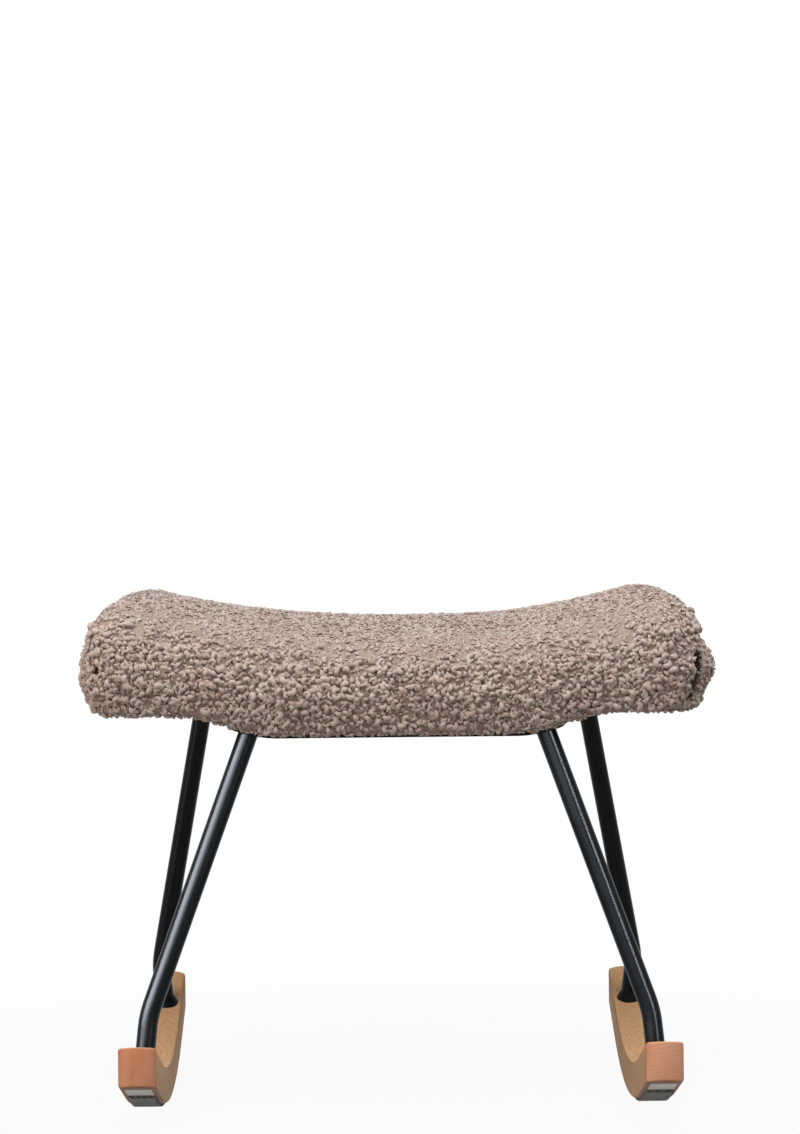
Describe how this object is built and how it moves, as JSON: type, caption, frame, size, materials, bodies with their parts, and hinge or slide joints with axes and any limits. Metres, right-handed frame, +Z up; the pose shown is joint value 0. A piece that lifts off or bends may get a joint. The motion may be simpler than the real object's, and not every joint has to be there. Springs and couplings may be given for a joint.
{
  "type": "rocking footstool",
  "caption": "Rocking footstool: a saddle-shaped upholstered seat on bent black steel legs that stand in curved wooden rockers with felt glide strips.",
  "frame": {"origin": "middle of the floor area under the stool, level with the floor it rests on", "axes": "+Z up; +X to the right, along the wide side of the seat; +Y from the front, where the leg tops stand close together, to the back, where they stand wide"},
  "size_m": [0.572, 0.454, 0.4873],
  "materials": {
    "boucle_fabric": "looped pile, matt",
    "seat_foam": "open-cell foam, matt",
    "plywood": "sanded, unfinished",
    "dust_cloth": "non-woven, matt",
    "zinc_steel": "zinc-plated, satin",
    "tee_nut_steel": "yellow zinc-plated, satin",
    "black_steel": "black powder coat, satin",
    "black_screw": "black oxide, satin",
    "black_plastic": "moulded, satin",
    "lacquered_wood": "clear satin lacquer",
    "grey_felt": "pressed felt, matt",
    "plain_tab": "plain film, matt"
  },
  "bodies": {
    "root": {"seat_cover": "boucle_fabric", "seat_foam": "seat_foam", "seat_board": "plywood", "dust_cover": "dust_cloth", "cover_staples": "zinc_steel", "tee_nuts": "tee_nut_steel", "front_mount_bar": "black_steel", "rear_mount_bar": "black_steel", "seat_screws": "black_screw", "front_left_leg": "black_steel", "front_right_leg": "black_steel", "rear_left_leg": "black_steel", "rear_right_leg": "black_steel", "front_left_collar": "black_plastic", "front_right_collar": "black_plastic", "rear_left_collar": "black_plastic", "rear_right_collar": "black_plastic", "leg_inserts": "zinc_steel", "rocker_screws": "zinc_steel", "left_rocker": "lacquered_wood", "right_rocker": "lacquered_wood", "left_glide_strip": "grey_felt", "right_glide_strip": "grey_felt", "end_tabs": "plain_tab"}
  },
  "joints": []
}
